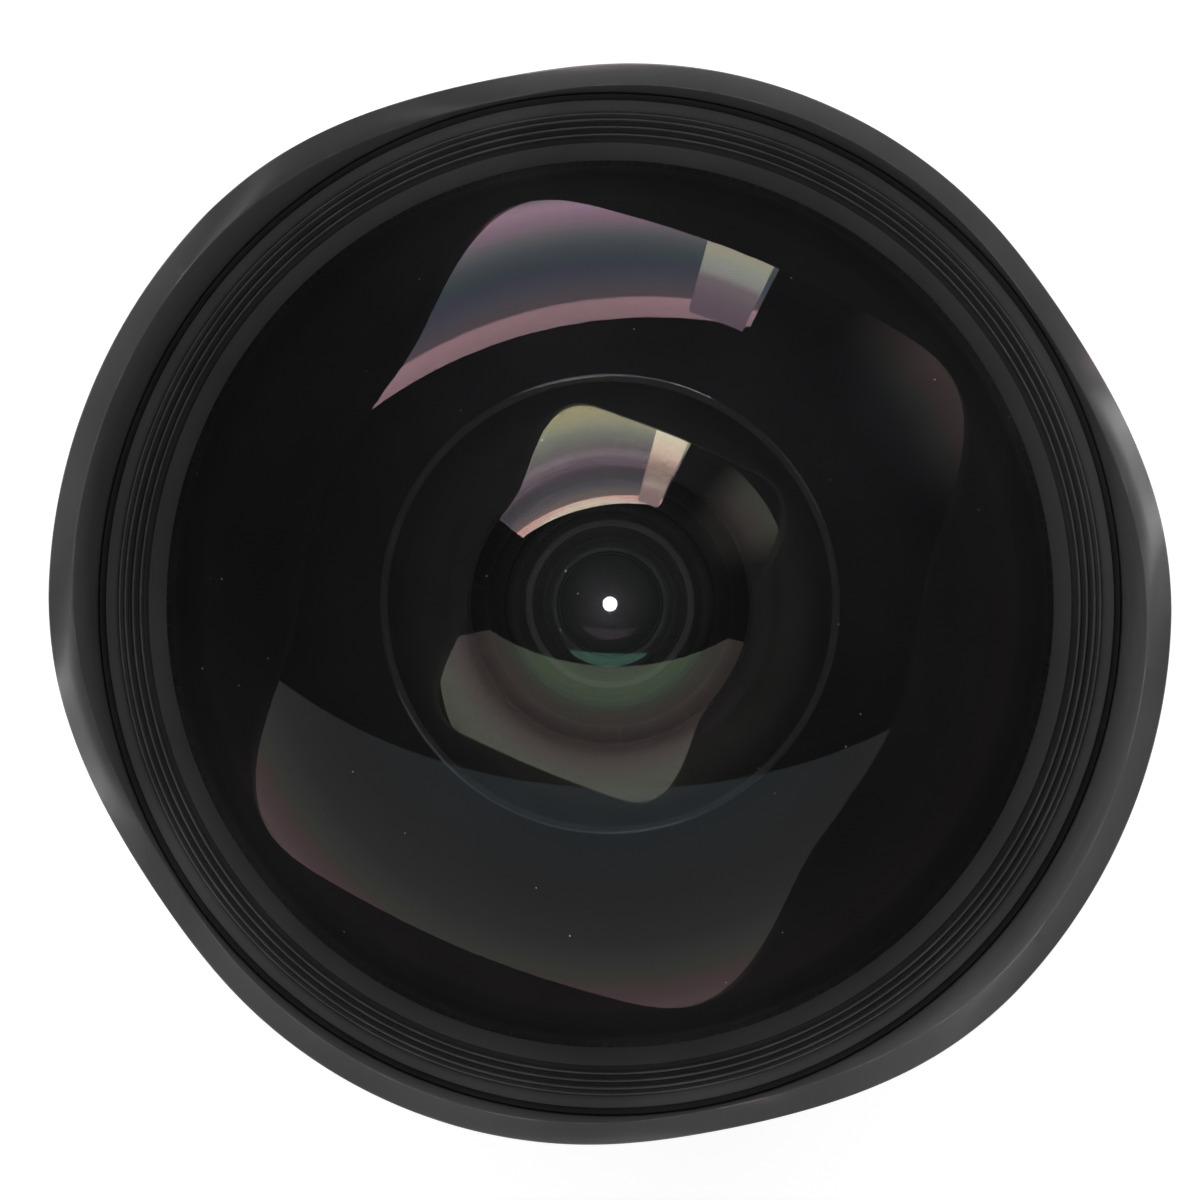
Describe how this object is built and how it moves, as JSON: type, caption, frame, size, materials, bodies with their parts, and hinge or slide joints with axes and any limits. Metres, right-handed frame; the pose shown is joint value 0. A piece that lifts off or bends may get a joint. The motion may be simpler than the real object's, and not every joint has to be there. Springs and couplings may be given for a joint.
{
  "type": "wide-angle prime lens",
  "caption": "Wide-angle prime lens with a fixed petal hood, bulging front glass, ribbed focus ring, distance window, focus switch, bladed diaphragm and three-claw bayonet.",
  "frame": {"origin": "on the optical axis, in the plane of the bayonet's contact face", "axes": "+Z along the optical axis towards the subject, +Y through the middle of a long hood petal, -Y through the distance window, -X through the focus mode switch"},
  "size_m": [0.0954, 0.0954, 0.1335],
  "materials": {
    "bayonet_steel": "satin",
    "screw_steel": "bright",
    "gold": "polished",
    "brass": "machined",
    "spring_steel": "bright",
    "black_anodised": "matt black anodised",
    "hood_black": "satin black",
    "cell_black": "blackened",
    "bare_aluminium": "machined",
    "black_plastic": "matt",
    "white_plastic": "satin",
    "blade_black": "dry film black",
    "rubber": "matt",
    "board_green": "solder mask",
    "flex_amber": "satin",
    "window_clear": "clear",
    "coated_glass": "multi-coated"
  },
  "bodies": {
    "barrel": {"mount_ring": "bayonet_steel", "mount_screws": "screw_steel", "mount_gasket": "rubber", "rear_skirt": "black_plastic", "contact_block": "black_plastic", "contact_pads": "gold", "circuit_board": "board_green", "flex_cable": "flex_amber", "chassis": "bare_aluminium", "rear_barrel": "black_anodised", "control_barrel": "black_anodised", "distance_window": "window_clear", "switch_plate": "black_plastic", "motor_spring_washer": "spring_steel", "motor_stator": "brass", "motor_rotor": "bare_aluminium", "bearing_sleeve": "bare_aluminium", "diaphragm_base": "cell_black", "diaphragm_cover": "cell_black", "aperture_spring": "spring_steel", "rear_cell": "cell_black", "inner_cell": "cell_black", "front_cell": "cell_black", "front_retainer": "cell_black", "front_baffle": "cell_black", "front_barrel": "black_anodised", "hood": "hood_black", "element_1": "coated_glass", "element_2": "coated_glass", "element_3": "coated_glass", "elements_4_5": "coated_glass", "elements_9_10": "coated_glass", "elements_11_12": "coated_glass", "elements_13_14": "coated_glass", "element_15": "coated_glass", "element_16": "coated_glass"},
    "focus_ring": {"focus_core": "black_anodised", "focus_grip": "rubber", "manual_drive_ring": "bare_aluminium"},
    "cam_drive": {"cam_barrel": "bare_aluminium", "scale_ring": "white_plastic"},
    "focus_group": {"focus_carrier": "cell_black", "cam_followers": "brass", "element_6": "coated_glass", "elements_7_8": "coated_glass"},
    "mode_switch": {"af_mf_switch": "white_plastic"},
    "aperture_drive": {"aperture_ring": "black_plastic", "aperture_lever": "screw_steel"},
    "roller_1": {"drive_roller_1": "screw_steel"},
    "roller_2": {"drive_roller_2": "screw_steel"},
    "roller_3": {"drive_roller_3": "screw_steel"},
    "blade_1": {"aperture_blade_1": "blade_black"},
    "blade_2": {"aperture_blade_2": "blade_black"},
    "blade_3": {"aperture_blade_3": "blade_black"},
    "blade_4": {"aperture_blade_4": "blade_black"},
    "blade_5": {"aperture_blade_5": "blade_black"},
    "blade_6": {"aperture_blade_6": "blade_black"},
    "blade_7": {"aperture_blade_7": "blade_black"},
    "blade_8": {"aperture_blade_8": "blade_black"},
    "blade_9": {"aperture_blade_9": "blade_black"}
  },
  "joints": [
    {"name": "focus_turn", "type": "hinge", "parent": "barrel", "child": "focus_ring", "pos_m": [0, 0, 0.066], "axis": [0, 0, 1], "range_deg": [0, 120]},
    {"name": "cam_turn", "type": "hinge", "parent": "barrel", "child": "cam_drive", "pos_m": [0, 0, 0.06], "axis": [0, 0, 1], "range_deg": [0, 60]},
    {"name": "group_slide", "type": "slide", "parent": "barrel", "child": "focus_group", "axis": [0, 0, 1], "range_m": [0, 0.005]},
    {"name": "mode_slide", "type": "slide", "parent": "barrel", "child": "mode_switch", "axis": [0, 0, 1], "range_m": [0, 0.003]},
    {"name": "aperture_turn", "type": "hinge", "parent": "barrel", "child": "aperture_drive", "pos_m": [0, 0, 0.0077], "axis": [0, 0, 1], "range_deg": [0, 16], "stiffness_Nm_per_rad": 0.04, "springref_deg": -26.36, "deforming": ["aperture_spring"]},
    {"name": "roller_1_spin", "type": "hinge", "parent": "cam_drive", "child": "roller_1", "pos_m": [0, 0.035, 0.03545], "axis": [0, 1, 0], "range_deg": [-880, 0]},
    {"name": "roller_2_spin", "type": "hinge", "parent": "cam_drive", "child": "roller_2", "pos_m": [-0.03031, -0.0175, 0.03545], "axis": [-0.866, -0.5, 0], "range_deg": [-880, 0]},
    {"name": "roller_3_spin", "type": "hinge", "parent": "cam_drive", "child": "roller_3", "pos_m": [0.03031, -0.0175, 0.03545], "axis": [0.866, -0.5, 0], "range_deg": [-880, 0]},
    {"name": "blade_1_swing", "type": "hinge", "parent": "barrel", "child": "blade_1", "pos_m": [0.022, 0, 0.0535], "axis": [0, 0, 1], "range_deg": [-30.5, 0]},
    {"name": "blade_2_swing", "type": "hinge", "parent": "barrel", "child": "blade_2", "pos_m": [0.01685, 0.01414, 0.0535], "axis": [0, 0, 1], "range_deg": [-30.5, 0]},
    {"name": "blade_3_swing", "type": "hinge", "parent": "barrel", "child": "blade_3", "pos_m": [0.00382, 0.02167, 0.0535], "axis": [0, 0, 1], "range_deg": [-30.5, 0]},
    {"name": "blade_4_swing", "type": "hinge", "parent": "barrel", "child": "blade_4", "pos_m": [-0.011, 0.01905, 0.0535], "axis": [0, 0, 1], "range_deg": [-30.5, 0]},
    {"name": "blade_5_swing", "type": "hinge", "parent": "barrel", "child": "blade_5", "pos_m": [-0.02067, 0.00752, 0.0535], "axis": [0, 0, 1], "range_deg": [-30.5, 0]},
    {"name": "blade_6_swing", "type": "hinge", "parent": "barrel", "child": "blade_6", "pos_m": [-0.02067, -0.00752, 0.0535], "axis": [0, 0, 1], "range_deg": [-30.5, 0]},
    {"name": "blade_7_swing", "type": "hinge", "parent": "barrel", "child": "blade_7", "pos_m": [-0.011, -0.01905, 0.0535], "axis": [0, 0, 1], "range_deg": [-30.5, 0]},
    {"name": "blade_8_swing", "type": "hinge", "parent": "barrel", "child": "blade_8", "pos_m": [0.00382, -0.02167, 0.0535], "axis": [0, 0, 1], "range_deg": [-30.5, 0]},
    {"name": "blade_9_swing", "type": "hinge", "parent": "barrel", "child": "blade_9", "pos_m": [0.01685, -0.01414, 0.0535], "axis": [0, 0, 1], "range_deg": [-30.5, 0]}
  ],
  "couplings": [
    {"joint": "cam_turn", "follows": "focus_turn", "ratio": 0.5},
    {"joint": "group_slide", "follows": "focus_turn", "m_per_rad": 0.0023873},
    {"joint": "roller_1_spin", "follows": "focus_turn", "ratio": -7.2917},
    {"joint": "roller_2_spin", "follows": "focus_turn", "ratio": -7.2917},
    {"joint": "roller_3_spin", "follows": "focus_turn", "ratio": -7.2917},
    {"joint": "blade_1_swing", "follows": "aperture_turn", "ratio": -1.9},
    {"joint": "blade_2_swing", "follows": "aperture_turn", "ratio": -1.9},
    {"joint": "blade_3_swing", "follows": "aperture_turn", "ratio": -1.9},
    {"joint": "blade_4_swing", "follows": "aperture_turn", "ratio": -1.9},
    {"joint": "blade_5_swing", "follows": "aperture_turn", "ratio": -1.9},
    {"joint": "blade_6_swing", "follows": "aperture_turn", "ratio": -1.9},
    {"joint": "blade_7_swing", "follows": "aperture_turn", "ratio": -1.9},
    {"joint": "blade_8_swing", "follows": "aperture_turn", "ratio": -1.9},
    {"joint": "blade_9_swing", "follows": "aperture_turn", "ratio": -1.9}
  ]
}
